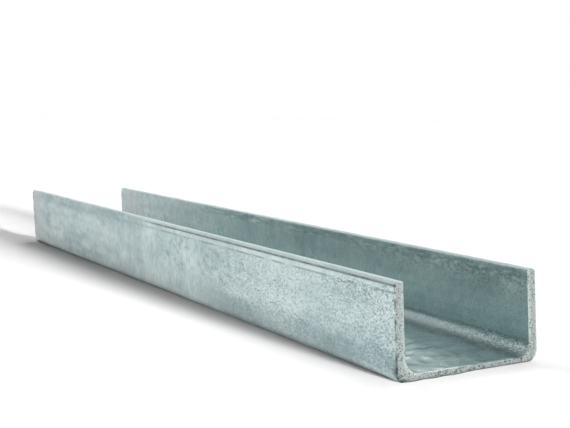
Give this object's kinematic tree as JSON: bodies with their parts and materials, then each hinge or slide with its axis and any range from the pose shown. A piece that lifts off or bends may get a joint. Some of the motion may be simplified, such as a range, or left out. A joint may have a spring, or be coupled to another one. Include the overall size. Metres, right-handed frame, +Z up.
{
  "type": "galvanized c-post",
  "caption": "Length of hot-rolled, hot-dip galvanized steel channel that stands as a C-post and holds the ends of retaining-wall sleepers between its flanges.",
  "frame": {"origin": "level with the underside of the web, at the middle of the post's length and width", "axes": "+X along the post to the end where the web runs past the toes, +Y across the web, +Z up along the flanges"},
  "size_m": [0.7556, 0.125, 0.065],
  "materials": {
    "galvanized_steel": "hot-dip galvanized, dull mottled zinc over rolled and sawn steel"
  },
  "bodies": {
    "root": {"c_post": "galvanized_steel"}
  },
  "joints": []
}
